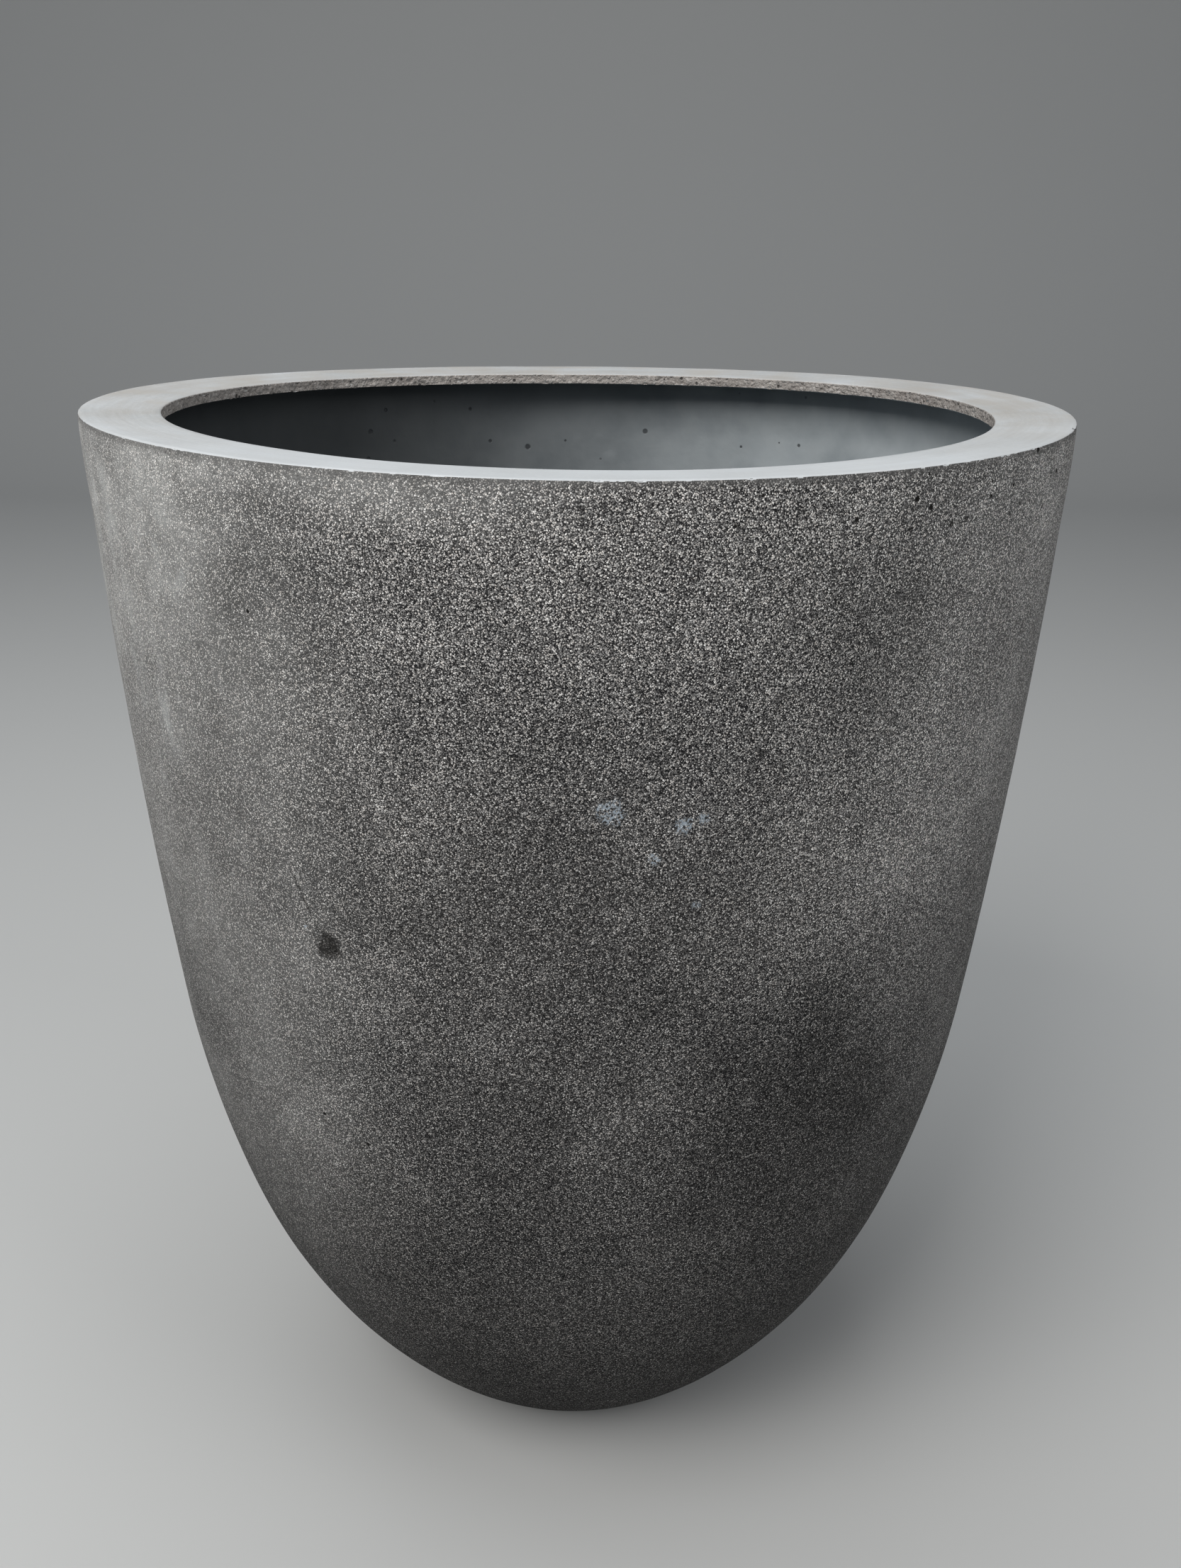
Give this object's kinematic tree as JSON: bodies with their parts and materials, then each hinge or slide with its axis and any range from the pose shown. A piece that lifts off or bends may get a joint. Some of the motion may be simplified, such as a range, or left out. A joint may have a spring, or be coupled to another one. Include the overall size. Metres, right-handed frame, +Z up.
{
  "type": "planter pot",
  "caption": "Tall round tapering planter with a stone-grained face, an in-turned rim, a rounded bottom on a small foot, and a floor drain with a lift-out bung.",
  "frame": {"origin": "centre of the foot's underside, on the surface the planter stands on", "axes": "+Z up along the planter's axis of turning; X and Y are free, as the planter is round"},
  "size_m": [0.4999, 0.5, 0.6],
  "materials": {
    "stone_face": "charcoal mortar with fine pale exposed stone grains",
    "rim_stone": "smooth rubbed pale grey top, rough cut edge at the mouth",
    "fibre_backing": "smooth dark blue-grey sealed mortar",
    "cast_floor": "plain cast grey mortar",
    "sleeve_plastic": "dark grey moulded",
    "bung_rubber": "black moulded rubber"
  },
  "bodies": {
    "pot": {"face_shell": "stone_face", "rim_ring": "rim_stone", "backing_shell": "fibre_backing", "floor_slab": "cast_floor", "drain_sleeve": "sleeve_plastic"},
    "bung": {"drain_bung": "bung_rubber"}
  },
  "joints": [
    {"name": "bung_lift", "type": "slide", "parent": "pot", "child": "bung", "axis": [0, 0, 1], "range_m": [0, 0.06]}
  ]
}
